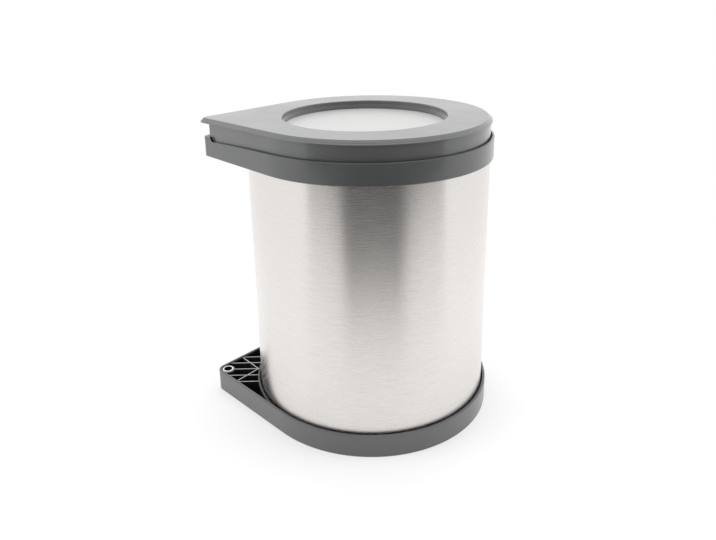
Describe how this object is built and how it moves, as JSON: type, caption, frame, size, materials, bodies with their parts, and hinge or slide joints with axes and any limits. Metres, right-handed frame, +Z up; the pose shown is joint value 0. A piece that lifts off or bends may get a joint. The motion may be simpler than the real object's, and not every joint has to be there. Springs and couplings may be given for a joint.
{
  "type": "swing-out kitchen waste bin",
  "caption": "Built-in round waste bin: brushed steel drum between a plastic tray and collar with pivot noses, hinged lid with dish, lift-out bucket with bail.",
  "frame": {"origin": "on the drum's axis, in the plane that the tray stands on", "axes": "+Z up along the drum, the noses with the pivot axis point to -X, Y across"},
  "size_m": [0.304, 0.259, 0.3172],
  "materials": {
    "grey_plastic": "satin moulded grey plastic",
    "brushed_shell": "brushed round the drum, fine horizontal grain",
    "satin_disc": "fine satin",
    "adhesive_tape": "white foam tape",
    "pin_steel": "bright zinc plated",
    "white_acetal": "smooth white acetal",
    "soft_rubber": "soft black rubber",
    "bucket_plastic": "matt dark grey moulded plastic",
    "zinc_wire": "drawn zinc plated wire",
    "grip_plastic": "matt dark plastic"
  },
  "bodies": {
    "bin": {"base_tray": "grey_plastic", "steel_shell": "brushed_shell", "collar": "grey_plastic", "tray_screws": "pin_steel", "collar_screws": "pin_steel", "lid_bumpers": "soft_rubber"},
    "pivot_bushes": {"lower_pivot_bush": "white_acetal", "upper_pivot_bush": "white_acetal"},
    "lid": {"lid_cover": "grey_plastic", "lid_disc": "satin_disc", "disc_tape": "adhesive_tape", "lid_hinge_pin": "pin_steel"},
    "bucket": {"inner_bucket": "bucket_plastic"},
    "bail": {"bail_wire": "zinc_wire", "bail_grip": "grip_plastic"}
  },
  "joints": [
    {"name": "bin_swing", "type": "hinge", "parent": "bin", "child": "pivot_bushes", "pos_m": [-0.1645, 0, 0], "axis": [0, 0, 1], "range_deg": [-90, 90]},
    {"name": "lid_hinge", "type": "hinge", "parent": "bin", "child": "lid", "pos_m": [-0.156, 0, 0.3095], "axis": [0, -1, 0], "range_deg": [0, 50]},
    {"name": "bucket_lift", "type": "slide", "parent": "bin", "child": "bucket", "axis": [0, 0, 1], "range_m": [0, 0.03]},
    {"name": "bail_hinge", "type": "hinge", "parent": "bucket", "child": "bail", "pos_m": [0, 0, 0.2986], "axis": [0, -1, 0], "range_deg": [0, 90]}
  ],
  "couplings": [
    {"joint": "bucket_lift", "follows": "lid_hinge", "m_per_rad": 0.0343},
    {"joint": "bail_hinge", "follows": "lid_hinge", "ratio": 1.8}
  ]
}
